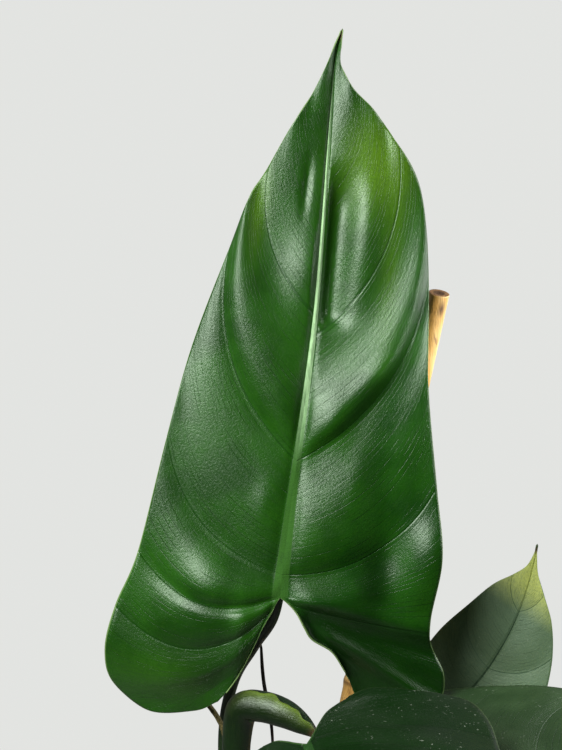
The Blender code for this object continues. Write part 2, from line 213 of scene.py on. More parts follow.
def scattered(name, finish, count, sizes, stretch):
    """Crumbs lying about on the mix, each turned, leaned and gnarled in its own way."""
    bm = bmesh.new()
    for i in range(count):
        out = SOIL_RADIUS * CRUMB_REACH * math.sqrt(random.random())
        turn = random.uniform(0, math.tau)
        x, y = out * math.cos(turn), out * math.sin(turn)
        size = random.uniform(*sizes)
        spot = Matrix.Translation((x, y, ground(x, y) + size * CRUMB_SINK))
        lean_x, lean_y = random.uniform(-CRUMB_LEAN, CRUMB_LEAN), random.uniform(-CRUMB_LEAN, CRUMB_LEAN)
        lean = Matrix.Rotation(lean_x, 4, "X") @ Matrix.Rotation(lean_y, 4, "Y")
        long, thick = random.uniform(0.7, stretch), random.uniform(0.3, 0.7)
        shape = Matrix.Diagonal((size * long, size, size * thick, 1))
        made = bmesh.ops.create_icosphere(bm, subdivisions=1, radius=0.5,
                                          matrix=spot @ Matrix.Rotation(turn * 3, 4, "Z") @ lean @ shape)
        for vert in made["verts"]:
            vert.co += CRUMB_GNARL * size * noise.noise_vector(vert.co / size * 1.7 + Vector((i, 0, 0)))
    return piece(name, bm, [finish], "soil")


scattered("bark_chips", bark, 260, (0.004, 0.0105), 2.2)
scattered("coir_crumbs", mix, 700, (0.0015, 0.0034), 1.6)
scattered("perlite_grains", perlite, 90, (0.0018, 0.0042), 1.3)

# ---- the cane ------------------------------------------------------------------------------------
# A length of tonkin bamboo pushed into the mix beside the stem: straw-coloured and fibrous, with a low
# ring at each joint. It is sawn a little off square at the top, where its thick wall and pith show.
CANE_FOOT = Vector((-0.0140, 0.020, 0.020))
CANE_HEAD = Vector((0.0955, 0.0225, 0.5745))
CANE_RADIUS = 0.0053
CANE_JOINTS = (0.36, 0.62, 0.87)
CANE_LENGTH = (CANE_HEAD - CANE_FOOT).length
cane_turn = (CANE_HEAD - CANE_FOOT).to_track_quat("Z", "Y").to_matrix().to_4x4()
cane_place = Matrix.Translation(CANE_FOOT) @ cane_turn
SAW_SLOPE, SAW_TWIST, SAW_REACH = 0.24, 0.06, 0.004
JOINT_REACH, JOINT_SWELL, JOINT_DIP = 0.0026, 0.10, 0.05
STAIN_REACH = 0.0011
MARK_BELOW_TOP, MARK_HEIGHT, MARK_ANGLE, MARK_WIDTH = 0.0075, 0.0045, 3.6, 0.45
CAP_INSETS = (0.12, 0.4, 0.4, 0.5)
PITH_DEPTH = 0.0012
WELD = 0.000002


def cane_radius(up):
    """The radius at this height: a low ring at each joint, with a slight dip above it."""
    swell = 0.0
    for share in CANE_JOINTS:
        away = (up - share * CANE_LENGTH) / JOINT_REACH
        swell += JOINT_SWELL * math.exp(-away * away) - JOINT_DIP * math.exp(-(away - 1.7) ** 2 * 2)
    return CANE_RADIUS * (1 + swell)


def painted(finish, name):
    """A value kept on the mesh's own points."""
    return add(finish, "Attribute", {}, attribute_name=name).outputs["Fac"]


cane, shader, place = shaded("bamboo_skin", 0.42, 0.5)
local = add(cane, "Mapping", {0: place, 2: (-cane_turn.to_euler().x, -cane_turn.to_euler().y, 0)}).outputs[0]
fibres = clouds(cane, stretched(cane, local, 1500, 1500, 45), 1, 4)
blotches = clouds(cane, stretched(cane, local, 120, 120, 30), 1, 4)
skin = mixed(cane, fade(cane, blotches, 0.36, 0.66), (0.72, 0.40, 0.10, 1), (0.86, 0.60, 0.24, 1))
skin = mixed(cane, fade(cane, fibres, 0.42, 0.72, 0, 0.55), skin, (0.36, 0.17, 0.045, 1))
scuffs = clouds(cane, stretched(cane, local, 300, 300, 90), 1, 5)
skin = mixed(cane, fade(cane, scuffs, 0.63, 0.72, 0, 0.7), skin, (0.20, 0.085, 0.03, 1))
skin = mixed(cane, painted(cane, "joint"), skin, (0.10, 0.045, 0.02, 1))
relief = bumped(cane, fibres, 0.00035)
wire(cane, shader, Base_Color=skin, Normal=relief, Roughness=fade(cane, blotches, 0.3, 0.7, 0.36, 0.56))

sawn, shader, place = shaded("bamboo_sawn_end", 0.8, 0.3)
pith = clouds(sawn, place, 1900, 3)
end_tone = mixed(sawn, fade(sawn, pith, 0.35, 0.7), (0.17, 0.085, 0.032, 1), (0.36, 0.20, 0.085, 1))
end_tone = mixed(sawn, fade(sawn, painted(sawn, "outwards"), 0.62, 0.5), end_tone, (0.10, 0.052, 0.024, 1))
wire(sawn, shader, Base_Color=end_tone, Normal=bumped(sawn, pith, 0.0005))

bm = bmesh.new()
outwards_layer = bm.verts.layers.float.new("outwards")
joint_layer = bm.verts.layers.float.new("joint")
for vert in bmesh.ops.create_grid(bm, x_segments=640, y_segments=28, size=0.5)["verts"]:
    up = (vert.co.x + 0.5) * CANE_LENGTH
    angle = (vert.co.y + 0.5) * math.tau
    radius = cane_radius(up) * (1 + 0.012 * math.sin(3 * angle + 1))
    x, y = radius * math.cos(angle), radius * math.sin(angle)
    if up > CANE_LENGTH - SAW_REACH:
        off_axis = cane_turn.to_3x3() @ Vector((x, y, 0))
        slope = SAW_SLOPE * off_axis.y + SAW_TWIST * off_axis.x
        up += slope * (up - CANE_LENGTH + SAW_REACH) / SAW_REACH
    # a dark mark on the skin, on the left just under the sawn end, mixed in with the joints' dark rings
    dark_mark = math.hypot((up - CANE_LENGTH + MARK_BELOW_TOP) / MARK_HEIGHT, (angle - MARK_ANGLE) / MARK_WIDTH)
    stained = sum(math.exp(-((up - share * CANE_LENGTH) / STAIN_REACH) ** 2) for share in CANE_JOINTS)
    vert[joint_layer] = min(1, 0.75 * stained + max(0, 1.2 - dark_mark) * 0.9)
    vert.co = (x, y, up)
bmesh.ops.remove_doubles(bm, verts=bm.verts, dist=WELD)
for at_top in (False, True):
    rim = [edge for edge in bm.edges if edge.is_boundary]
    loop = [edge for edge in rim if (edge.verts[0].co.z > CANE_LENGTH / 2) == at_top]
    cap = bmesh.ops.contextual_create(bm, geom=loop)["faces"]
    for share in CAP_INSETS:
        bmesh.ops.inset_region(bm, faces=cap, thickness=CANE_RADIUS * share * 0.8, depth=0)
    hollow = [vert for face in cap for vert in face.verts]
    bmesh.ops.translate(bm, verts=hollow, vec=(0, 0, -PITH_DEPTH if at_top else 0))
    for face in bm.faces:
        if abs(face.normal.z) > 0.6 and (face.calc_center_median().z > CANE_LENGTH / 2) == at_top:
            face.material_index = 1
bmesh.ops.recalc_face_normals(bm, faces=bm.faces)
for face in bm.faces:
    if face.material_index:
        for vert in face.verts:
            vert[outwards_layer] = math.hypot(vert.co.x, vert.co.y) / CANE_RADIUS
bmesh.ops.transform(bm, matrix=cane_place, verts=bm.verts)
piece("bamboo_cane", bm, [cane, sawn], "bamboo", "bamboo_stake")

# ---- the stem ------------------------------------------------------------------------------------
# A short woody stem, ringed by the scar of each fallen leaf. Its skin is dull green-brown and cracked
# lengthwise, and root buds show as small bumps under the nodes.
STEM_ROUTE = ((-0.002, -0.004, 0.100), (-0.002, -0.004, 0.128), (-0.001, -0.004, 0.150),
              (0.000, -0.002, 0.172), (-0.003, -0.003, 0.193), (-0.005, -0.003, 0.213),
              (-0.005, -0.005, 0.222))
STEM_NODES = (0.150, 0.172, 0.193, 0.213)
STEM_RADIUS = 0.0075


def spline(points, at):
    """A smooth curve through the points, at a place counted in points from the first."""
    last = len(points) - 1
    i = min(int(at), last - 1)
    f = at - i
    b, c = Vector(points[i]), Vector(points[i + 1])
    a = Vector(points[i - 1]) if i else 2 * b - c
    e = Vector(points[i + 2]) if i + 2 <= last else 2 * c - b
    return 0.5 * (2 * b + (c - a) * f + (2 * a - 5 * b + 4 * c - e) * f**2 + (3 * b - a - 3 * c + e) * f**3)


def values_along(values, rows):
    """One value a row, smoothly between the values given."""
    points = [(value, 0, 0) for value in values]
    return [spline(points, (len(points) - 1) * i / rows).x for i in range(rows + 1)]


def tube(route, radii, rows, sides, shape):
    """A closed round tube along the route. shape(share, angle) gives how much of its radius it has there."""
    bm = bmesh.new()
    last = len(route) - 1
    places = [spline(route, last * i / rows) for i in range(rows + 1)]
    girths = values_along(radii, rows)
    ways = [(places[min(i + 1, rows)] - places[max(i - 1, 0)]).normalized() for i in range(rows + 1)]
    across = [ways[0].orthogonal().normalized()]
    for way in ways[1:]:
        across.append((across[-1] - across[-1].dot(way) * way).normalized())
    for vert in bmesh.ops.create_grid(bm, x_segments=rows, y_segments=sides, size=0.5)["verts"]:
        i = round((vert.co.x + 0.5) * rows)
        angle = (vert.co.y + 0.5) * math.tau
        side = across[i] * math.cos(angle) + ways[i].cross(across[i]) * math.sin(angle)
        girth = girths[i] * shape(i / rows, angle)
        vert.co = places[i] + side * girth
    bmesh.ops.remove_doubles(bm, verts=bm.verts, dist=WELD)
    bmesh.ops.holes_fill(bm, edges=[edge for edge in bm.edges if edge.is_boundary], sides=0)
    bmesh.ops.recalc_face_normals(bm, faces=bm.faces)
    return bm


def bell(away, reach):
    return math.exp(-(away / reach) ** 2)


def stem_shape(share, angle):
    """At each node a ring, a groove under it, and a root bud that faces its own way. The top is drawn in."""
    up = spline(STEM_ROUTE, share * (len(STEM_ROUTE) - 1)).z
    girth = 1.0
    for node in STEM_NODES:
        bud = bell(up - node + 0.006, 0.0022) * max(0, math.cos(angle - 40 * node)) ** 12
        girth += 0.16 * bell(up - node - 0.001, 0.0016) - 0.06 * bell(up - node + 0.0024, 0.0012) + 0.25 * bud
    return girth * (1 - max(0, share - 0.95) * 12)


stem_skin, shader, place = shaded("stem_skin", 0.62, 0.4)
cracks = clouds(stem_skin, stretched(stem_skin, place, 700, 700, 120), 1, 4, 0.65)
patches = clouds(stem_skin, place, 90, 3)
aged = fade(stem_skin, patches, 0.4, 0.62)
tone = mixed(stem_skin, aged, (0.045, 0.062, 0.018, 1), (0.115, 0.098, 0.048, 1))
tone = mixed(stem_skin, fade(stem_skin, cracks, 0.55, 0.7, 0, 0.75), tone, (0.19, 0.15, 0.09, 1))
wire(stem_skin, shader, Base_Color=tone, Normal=bumped(stem_skin, cracks, 0.0007))
stem_radii = (STEM_RADIUS, STEM_RADIUS, STEM_RADIUS * 0.9)
piece("ringed_stem", tube(STEM_ROUTE, stem_radii, 150, 40, stem_shape), [stem_skin], "stem", "main_stem")

# ---- the tie -------------------------------------------------------------------------------------
# A band of soft green plant tape looped once round the stem and the cane. It is woven, a little slack
# between the two, and one end lies over the other.
TIE_HEIGHT = 0.164
TIE_HALF = 0.0048
TIE_THICKNESS, TIE_LAP = 0.0007, 0.0009
TIE_TURNS = 1.09
STEM_SLACK, CANE_SLACK = 0.0018, 0.0016
ARC = 0.4  # the share of one turn that lies on the stem, and again on the cane
SPAN = 0.1  # the share of each straight run between them
trunk = Vector((-0.0005, -0.003, TIE_HEIGHT))
pole = CANE_FOOT.lerp(CANE_HEAD, (TIE_HEIGHT - CANE_FOOT.z) / (CANE_HEAD.z - CANE_FOOT.z))
heading = math.atan2(pole.y - trunk.y, pole.x - trunk.x)
tape, shader, place = shaded("woven_tape", 0.85, 0.25)
threads = {"Vector": stretched(tape, place, 1, 1, 1.6), "Scale": 320, "Distortion": 1.5}
weave = add(tape, "TexWave", threads, bands_direction="DIAGONAL").outputs["Fac"]
fuzz = clouds(tape, place, 1100, 3)
tone = mixed(tape, fuzz, (0.018, 0.05, 0.018, 1), (0.045, 0.10, 0.04, 1))
tone = mixed(tape, fade(tape, weave, 0.2, 0.9, 0, 0.35), tone, (0.09, 0.16, 0.075, 1))
relief = bumped(tape, weave, 0.0003)
wire(tape, shader, Base_Color=tone, Normal=bumped(tape, fuzz, 0.0003, relief))


def beside(centre, reach, angle):
    return centre + reach * Vector((math.cos(angle), math.sin(angle), 0))


def thickened(obj, thickness, offset, under=0, rim=0):
    """Gives a sheet its thickness. under and rim: how many finishes on from the face's own they are."""
    solid = obj.modifiers.new("thickness", "SOLIDIFY")
    solid.thickness = thickness
    solid.offset = offset
    solid.material_offset = under
    solid.material_offset_rim = rim


near_side, far_side = heading - math.pi / 2, heading + math.pi / 2
bm = bmesh.new()
for vert in bmesh.ops.create_grid(bm, x_segments=150, y_segments=8, size=0.5)["verts"]:
    share = (vert.co.x + 0.5) * TIE_TURNS
    lift = vert.co.y * 2 * TIE_HALF
    part = share % 1
    lap = TIE_LAP if share > 1 else 0
    stem_reach, pole_reach = STEM_RADIUS + STEM_SLACK + lap, CANE_RADIUS + CANE_SLACK + lap
    if part < ARC:
        spot = beside(trunk, stem_reach, heading + math.pi * (0.5 + part / ARC))
    elif part < 0.5:
        run = (beside(trunk, stem_reach, near_side), beside(pole, pole_reach, near_side))
        spot = run[0].lerp(run[1], (part - ARC) / SPAN)
    elif part < 0.5 + ARC:
        spot = beside(pole, pole_reach, heading + math.pi * (-0.5 + (part - 0.5) / ARC))
    else:
        run = (beside(pole, pole_reach, far_side), beside(trunk, stem_reach, far_side))
        spot = run[0].lerp(run[1], (part - 0.5 - ARC) / SPAN)
    sag = 0.0004 * math.sin(share * 40) * (vert.co.y * 2)
    vert.co = spot + Vector((0, 0, lift + sag + 0.0006 * math.sin(share * 9)))
bmesh.ops.recalc_face_normals(bm, faces=bm.faces)
thickened(piece("plant_tape", bm, [tape], "tie", "stake_tie"), TIE_THICKNESS, 0)

# ---- the blades' finishes ------------------------------------------------------------------------
# Leathery leaves with a satin, waxy upper skin. Fine veins run side by side from the midrib to the
# margin, the main side veins are sunk, the midrib is fleshy, and a thin pale line runs round the edge.
# Underneath, the skin is matt and paler, and the veins stand out.

# What each point of a blade keeps: its rib number, its distance from the midrib's middle in half widths of
# the midrib, its distance from the edge in millimetres, its sun value (over 0 a yellower tone: painted light
# on the large leaf, elsewhere the leaf's own yellower tip and margin; under 0 painted shade), how dry it
# is, how many main side veins come before it, and the way across, under 0 on the left.
SKIN_VALUES = ("rib", "mid", "edge", "sun", "dry", "count", "across")
GREEN_SHEEN = (0.86, 1, 0.84, 1)
FINE_VEINS_PER_RIB = 11
MIDRIB_ROUGHNESS = 0.85


def coloured(r, g, b):
    return (r, g, b, 1)


def vein_places(finish):
    """The rib number, the side vein count and the way across."""
    split = add(finish, "SeparateXYZ", {0: add(finish, "UVMap", {}, uv_map="veins").outputs[0]})
    return painted(finish, "rib"), split.outputs[0], split.outputs[1]


def streaks(finish, rib, across, fine, long):
    """Streaks that run along the side veins: how many to a rib, and how often each breaks on its way."""
    sides = {0: sums(finish, "MULTIPLY", rib, fine), 1: sums(finish, "MULTIPLY", across, long)}
    return clouds(finish, add(finish, "CombineXYZ", sides).outputs[0], 1, 3, 0.6)


def upper_skin(name, deep, bright, sunny, rib_pale, rib_green, roughness, gloss=0.5, rim=0.7, dust=0.0):
    """deep and bright: the green's two ends. sunny: the colour of thin, light-struck places, painted in as
    painted light where sun is over 0 (on the younger leaves and the new leaf it is their own yellower tip and
    margin).
    rib_pale and rib_green: the midrib's upper and lower part. rim: how strong the pale line along the edge is."""
    finish, shader, place = shaded(name, roughness, gloss, GREEN_SHEEN)
    rib, vein, across = vein_places(finish)
    sun, mid, edge, dry = (painted(finish, value) for value in ("sun", "mid", "edge", "dry"))
    narrow = streaks(finish, rib, across, 13, 8)
    hair = streaks(finish, rib, across, 60, 26)
    patches = clouds(finish, place, 30, 3)
    grain = clouds(finish, place, 980, 3, 0.7)
    tone = mixed(finish, fade(finish, patches, 0.34, 0.66), deep, bright)
    tone = mixed(finish, fade(finish, sun, 0, 1), tone, sunny)
    # painted shade: where sun is under 0, the green darkens towards near-black
    tone = mixed(finish, fade(finish, sun, 0, -1, 0, 0.85), tone, coloured(0.0015, 0.016, 0.0006))
    tone = mixed(finish, fade(finish, narrow, 0.42, 0.7, 0, 0.22), tone, deep)
    tone = mixed(finish, fade(finish, hair, 0.5, 0.75, 0, 0.10), tone, sunny)
    tone = mixed(finish, fade(finish, grain, 0.56, 0.4, 0, 0.25), tone, deep)
    from_fine_vein = sums(finish, "PINGPONG", sums(finish, "MULTIPLY", rib, FINE_VEINS_PER_RIB), 0.5)
    uneven = fade(finish, streaks(finish, rib, across, 5, 3), 0.4, 0.65)
    fine_vein = sums(finish, "MULTIPLY", fade(finish, from_fine_vein, 0.085, 0.03), uneven)
    tone = mixed(finish, sums(finish, "MULTIPLY", fine_vein, 0.6), tone, coloured(0.001, 0.012, 0.0003))
    on_vein = sums(finish, "PINGPONG", vein, 0.5)
    # painted shade: a dark line along each sunken main vein, in its groove
    tone = mixed(finish, fade(finish, on_vein, 0.011, 0.003, 0, 0.55), tone, deep)
    fleshy = mixed(finish, fade(finish, rib, 5.6, 7.2), rib_pale, rib_green)
    rib_fibres = clouds(finish, stretched(finish, place, 900, 900, 60), 1, 3)
    fleshy = mixed(finish, fade(finish, rib_fibres, 0.4, 0.75, 0, 0.4), fleshy, tone)
    on_midrib = fade(finish, mid, 1.12, 0.86)
    rib_share = sums(finish, "MULTIPLY", on_midrib, fade(finish, rib, 0.8, 4.2, 0.15, 1))
    tone = mixed(finish, rib_share, tone, fleshy)
    tone = mixed(finish, fade(finish, edge, 0.7, 0.25, 0, rim), tone, coloured(0.17, 0.28, 0.09))
    tone = mixed(finish, dry, tone, coloured(0.055, 0.028, 0.012))
    if dust:
        specks = fade(finish, clouds(finish, place, 620, 2), 0.66, 0.74)
        dusty = fade(finish, clouds(finish, place, 45, 2), 0.42, 0.60, 0, dust)
        lying = sums(finish, "MULTIPLY", specks, dusty)
        haze = fade(finish, clouds(finish, place, 22, 4), 0.4, 0.75, 0, dust * 0.04)
        for layer in (lying, haze):
            tone = mixed(finish, layer, tone, coloured(0.30, 0.34, 0.27))
    relief = bumped(finish, narrow, 0.00010)
    relief = bumped(finish, fine_vein, -0.00006, relief)
    relief = bumped(finish, hair, 0.00004, relief)
    relief = bumped(finish, fade(finish, on_vein, 0.0, 0.014), 0.00014, relief)
    relief = bumped(finish, grain, 0.00017, relief)
    rough = fade(finish, narrow, 0.3, 0.75, roughness - 0.04, roughness + 0.06)
    rough = add(finish, "Mix", {0: on_midrib, 2: rough, 3: MIDRIB_ROUGHNESS}, data_type="FLOAT").outputs[0]
    wire(finish, shader, Base_Color=tone, Normal=relief, Roughness=rough)
    return finish


def under_skin(name, tone_low, tone_high):
    finish, shader, place = shaded(name, 0.55, 0.4)
    rib, vein, across = vein_places(finish)
    on_vein = sums(finish, "PINGPONG", vein, 0.5)
    narrow = streaks(finish, rib, across, 26, 4)
    grain = clouds(finish, place, 1500, 2)
    tone = mixed(finish, fade(finish, clouds(finish, place, 30, 3), 0.3, 0.7), tone_low, tone_high)
    tone = mixed(finish, fade(finish, narrow, 0.45, 0.75, 0, 0.3), tone, tone_low)
    tone = mixed(finish, fade(finish, on_vein, 0.022, 0.008, 0, 0.8), tone, coloured(0.16, 0.27, 0.08))
    relief = bumped(finish, fade(finish, on_vein, 0.035, 0.0), 0.0009)
    relief = bumped(finish, narrow, 0.0004, relief)
    wire(finish, shader, Base_Color=tone, Normal=bumped(finish, grain, 0.0002, relief))
    return finish


def cut_edge(name, low, high):
    finish, shader, place = shaded(name, 0.5, 0.4)
    tone = mixed(finish, clouds(finish, place, 160, 3), low, high)
    wire(finish, shader, Base_Color=tone)
    return finish


pale_edge = cut_edge("leaf_edge", coloured(0.11, 0.20, 0.05), coloured(0.22, 0.33, 0.12))
dark_edge = cut_edge("lower_leaf_edge", coloured(0.02, 0.05, 0.012), coloured(0.05, 0.10, 0.03))
leaf_under = under_skin("leaf_underside", coloured(0.045, 0.115, 0.03), coloured(0.075, 0.165, 0.05))
large_upper = upper_skin("large_leaf_skin", coloured(0.0035, 0.036, 0.0009), coloured(0.011, 0.072, 0.0028),
                         coloured(0.080, 0.19, 0.005), coloured(0.36, 0.58, 0.29),
                         coloured(0.017, 0.088, 0.0001), roughness=0.33)

# ---- the large leaf ------------------------------------------------------------------------------
# The plant's one full-grown leaf, arrow-shaped, long and upright, facing the viewer. Both basal lobes
# curl back, the surface bulges between the sunken side veins, and the tip dries to a small brown hook.
MIDRIB = ((0, 279, -14), (-2, 262, -10.5), (-1.4, 243, -8), (-0.4, 213.8, -5), (1.2, 173.6, -3.5),
          (2.2, 136.3, -3), (1.8, 101, -2.5), (0.8, 66, -1.5), (0.2, 36, -0.5), (-0.2, 11, 0), (0, 0, 0))
LEFT_SINUS_RIB = ((-2.6, -6, -0.6), (-6, -14, -1.8), (-9, -23, -4), (-12.6, -33, -6.4),
                  (-16.6, -42.5, -8.6), (-21, -50.5, -10.4))
RIGHT_SINUS_RIB = ((5, -3, -0.6), (9.5, -7.4, -1.3), (13.4, -13.2, -2.4), (18, -19.2, -5.5),
                   (28.5, -25.2, -11), (36.6, -35.6, -17))
LEFT_MARGIN = ((0, 279, -14), (-3, 268.5, -10), (-6.2, 257.7, -7), (-12.4, 240.8, -4.5), (-21, 223.2, -3),
               (-28.6, 205.6, -3), (-36, 189.8, -4), (-42.9, 165.2, -5.5), (-55.7, 116.4, -6),
               (-62.9, 71, -6), (-70.8, 14.2, -7), (-79.2, -13.6, -9), (-82.4, -37, -13),
               (-77.2, -54.2, -20), (-58.8, -66.8, -25), (-36, -63.6, -19), (-24.5, -56.2, -12.6))
RIGHT_MARGIN = ((0, 279, -14), (0.2, 270, -10.5), (1.4, 259.4, -8.5), (8, 249, -7), (19.7, 239.2, -6.5),
                (29.3, 228, -7), (45.7, 205.1, -7.5), (54.7, 163, -7), (59.6, 112.1, -5), (70, 60.5, -7),
                (75.8, 26, -6), (75.4, -12, -17), (86.5, -34, -20), (85.4, -50, -26), (68.6, -56.8, -30),
                (51, -53.6, -30), (42.8, -48.5, -27))
LEFT_BOW = (0, 0.03, 0.06, 0.09, 0.12, 0.13, 0.14, 0.14, 0.15, 0.16, 0.2, 0.26, 0.22, 0.15, 0.07, -0.03, 0)
RIGHT_BOW = (0, 0.03, 0.06, 0.1, 0.13, 0.14, 0.14, 0.13, 0.14, 0.15, 0.1, 0.02, 0, -0.04, -0.1, -0.1, 0)
LEFT_VEINS = (0, 5, 7, 9, 10, 11, 16)
RIGHT_VEINS = (0, 5.3, 7, 9, 11, 16)
LEFT_BULGE = ((1.3, 1.0), (6.2, 1.7), (2.4, 0.8), (5.4, 1.4), (4.8, 0.6), (1.8, 1.0))
RIGHT_BULGE = ((1.0, 1.0), (5.4, 2.6), (5.0, 1.5), (1.6, 1.0), (1.0, 1.0))
# Rises and hollows of the skin, each a height, a middle and a reach each way, in millimetres.
LEFT_HILLS = ((1.2, (-12, 45), (6, 10)), (4.0, (-78, 40), (12, 36)), (4.2, (-36, -2), (16, 15)),
              (2.4, (-17, -24), (5, 20)))
RIGHT_HILLS = ((1.6, (18, 83), (8, 12)), (2.2, (23, 178), (9, 26)), (5.4, (73, 30), (14, 20)),
               (-5.6, (50, 18), (12, 20)))
CREST = (34, 110)  # the middle of the slanted crest on the right
CREST_ALONG = (0.64, 0.77)
FLAT = 0.001  # a droop too small to see
CROWDING = 1.45  # how far the columns crowd towards the midrib
LEAF_THICKNESS = 0.0006


def rib_point(root, end, bow, side, across):
    """A place along one rib, from root on the midrib, bowed to the base side, to end on the margin."""
    chord = end - root
    away = Vector((chord.y, -chord.x, 0)) * side
    middle = (root + end) / 2 + 2 * bow * away
    middle.z = (root.z + end.z) / 2
    return (1 - across) ** 2 * root + 2 * across * (1 - across) * middle + across**2 * end


def bent(point, droop, lobe_droop):
    """The flat blade bent along its midrib: degrees per 100 mm towards the tip, and over the lobes."""
    turn = math.radians(droop if point.y > 0 else lobe_droop) / 100
    angle = turn * point.y
    along = math.sin(angle) / turn + point.z * math.sin(angle)
    out = (math.cos(angle) - 1) / turn + point.z * math.cos(angle)
    return Vector((point.x, along, out))


def blade_axes(place, tip, face):
    """From the blade's frame, in millimetres, to the world: tip is its +Y, and face is nearest its +Z."""
    along, face = Vector(tip).normalized(), Vector(face)
    out = (face - face.dot(along) * along).normalized()
    turn = Matrix((along.cross(out), along, out)).transposed().to_4x4()
    return Matrix.Translation(place) @ turn @ Matrix.Scale(MM, 4)


def vein_count(at, veins):
    """How many main side veins come before this rib, counted smoothly."""
    i = max(n for n in range(len(veins) - 1) if veins[n] <= at)
    return i + (at - veins[i]) / (veins[i + 1] - veins[i])


def hump(x, y, middle, reach):
    """A round hill: 1 at its middle, and next to nothing at twice its reach."""
    return math.exp(-((x - middle[0]) / reach[0]) ** 2 - ((y - middle[1]) / reach[1]) ** 2)


def quilted(count, bulges, from_rib, across):
    """How far the skin bulges between two sunken veins. Each bulge has a height and a lean: under 1, it is
    steeper below the upper vein, and over 1, above the lower one."""
    i = min(int(count), len(bulges) - 1)
    height, lean = bulges[i]
    swell = 1 - abs(2 * (count - i) ** lean - 1) ** 2.2
    rise = 1 - math.exp(-from_rib / 7)
    return height * swell * rise * (1 - 0.8 * across**3)


def ramp(value, start, end):
    """A smooth step from 0 at start to 1 at end."""
    share = min(1.0, max(0.0, (value - start) / (end - start)))
    return share * share * (3 - 2 * share)


def rib_relief(from_rib, half, raised):
    """The channel along the midrib and the fleshy rib lying in it."""
    across = from_rib / half
    round_top = max(0.0, 1 - across * across)
    return raised * math.sqrt(round_top) - 0.7 * math.exp(-((across - 1.0) / 1.1) ** 2)


def rib_size(at, fork, lobe):
    """The midrib's half width and height at a rib, in millimetres. It widens from the tip to the fork and
    sinks just above it. The rib along a lobe thins to the lobe's end."""
    if lobe:
        return max(0.5, 2.2 - 0.35 * (at - fork)), 0.4
    half = 0.5 + 3.0 * min(1, at / fork) ** 1.8
    return half, 0.7 * min(1, at / 6) ** 2 * max(0.4, 1 - max(0, at - 6.5)) if at < 7.2 else 0.4


def skin_layers(bm):
    return {value: bm.verts.layers.float.new(value) for value in SKIN_VALUES}


def keep(vert, layers, values):
    for name, value in zip(SKIN_VALUES, values):
        vert[layers[name]] = value


def blade(name, halves, axes, finishes, relief, look, rows=230, columns=54, droop=FLAT, lobe_droop=FLAT,
          rib_girth=1.0):
    """A leaf blade. halves: for each side its midrib, sinus rib, margin, bows and main veins.
    relief(side, at, across, from_rib, x, y) raises the skin. look(side, x, y) gives sun and dry."""
    bm = bmesh.new()
    layers = skin_layers(bm)
    for side, (midrib, sinus_rib, margin, bows, veins) in halves.items():
        last, fork = len(margin) - 1, len(midrib) - 1
        spread = [(bow, 0, 0) for bow in bows]
        lines = []
        for i in range(rows + 1):
            at = last * i / rows
            root = spline(midrib, at) if at < fork + 0.01 else spline(midrib[-1:] + sinus_rib, at - fork)
            lines.append((root, spline(margin, at), spline(spread, at).x))
        grid = bmesh.ops.create_grid(bm, x_segments=rows, y_segments=columns, size=0.5)["verts"]
        for vert in grid:
            i = round((vert.co.x + 0.5) * rows)
            at = last * i / rows
            across = (vert.co.y + 0.5) ** CROWDING
            root, end, bow = lines[i]
            point = rib_point(root, end, bow, side, across)
            reach = (end - root).length
            from_rib = across * reach
            lobe = at > fork
            half, raised = (size * rib_girth for size in rib_size(at, fork, lobe))
            point.z += relief(side, at, across, from_rib, point.x, point.y)
            point.z += rib_relief(from_rib, half, raised) * min(1, 1.5 * rib_girth)
            edge = min(reach - from_rib, from_rib if lobe else reach)
            keep(vert, layers, (at, from_rib / half, edge, *look(side, point.x, point.y),
                                vein_count(at, veins), side * across))
            vert.co = axes @ bent(point, droop, lobe_droop)
        if side < 0:
            bmesh.ops.reverse_faces(bm, faces=list({face for vert in grid for face in vert.link_faces}))
    bmesh.ops.remove_doubles(bm, verts=bm.verts, dist=WELD)
    uv = bm.loops.layers.uv.new("veins")
    for face in bm.faces:
        way = 1 if sum(vert[layers["across"]] for vert in face.verts) > 0 else -1
        for loop in face.loops:
            loop[uv].uv = (loop.vert[layers["count"]], abs(loop.vert[layers["across"]]) * way)
    thickened(piece(name + "_leaf", bm, finishes, "leaf", name + "_leaf_blade"), LEAF_THICKNESS, -1, 1, 2)


def right_relief(at, from_rib, x, y, up):
    """The right half: a long trough beside the midrib, a slanted crest, and a lobe that folds down under a
    ridge, with its own edge curled up again."""
    rise = 1 - math.exp(-from_rib / 3)
    if 2 <= vein_count(at, RIGHT_VEINS) < 3:
        up *= 1 - 0.85 * ramp(x, 27, 47)
    trough = math.exp(-((x - 8.5) / 8) ** 2) * ramp(y, 128, 139) * ramp(y, 216, 190)
    up -= 5.6 * trough * (1 - math.exp(-((from_rib / 4) ** 2)))
    east, north = x - CREST[0], y - CREST[1]
    off_crest = CREST_ALONG[0] * north - CREST_ALONG[1] * east
    along_crest = CREST_ALONG[0] * east + CREST_ALONG[1] * north
    up += rise * 1.6 * hump(off_crest, along_crest, (0, 0), (5, 20))
    up += rise * sum(height * hump(x, y, middle, reach) for height, middle, reach in RIGHT_HILLS)
    ridge = 1.5 - 0.155 * x
    up += rise * (2.0 * math.exp(-((y - ridge) / 6) ** 2) - 7.0 * ramp(y, ridge, ridge - 15)) * ramp(x, 4, 16)
    rolled = -18 - 0.55 * (x - 32)
    curl = 2.5 * ramp(y, rolled + 6, rolled - 8) + 2.5 * math.exp(-((y - rolled + 3) / 4.2) ** 2)
    return up + rise * curl * ramp(x, 14, 27)


def left_relief(from_rib, x, y, up):
    """The left half: plain hills, a narrow dent near the tip and a long swelling beside the midrib."""
    rise = 1 - math.exp(-from_rib / 3)
    up -= 1.5 * hump(x, y, (-9, 199), (2.2, 12)) * min(1, from_rib / 3)
    up += 3.4 * hump(x, y, (-4, 156), (11, 22)) * min(1, from_rib / 5)
    return up + rise * sum(height * hump(x, y, middle, reach) for height, middle, reach in LEFT_HILLS)


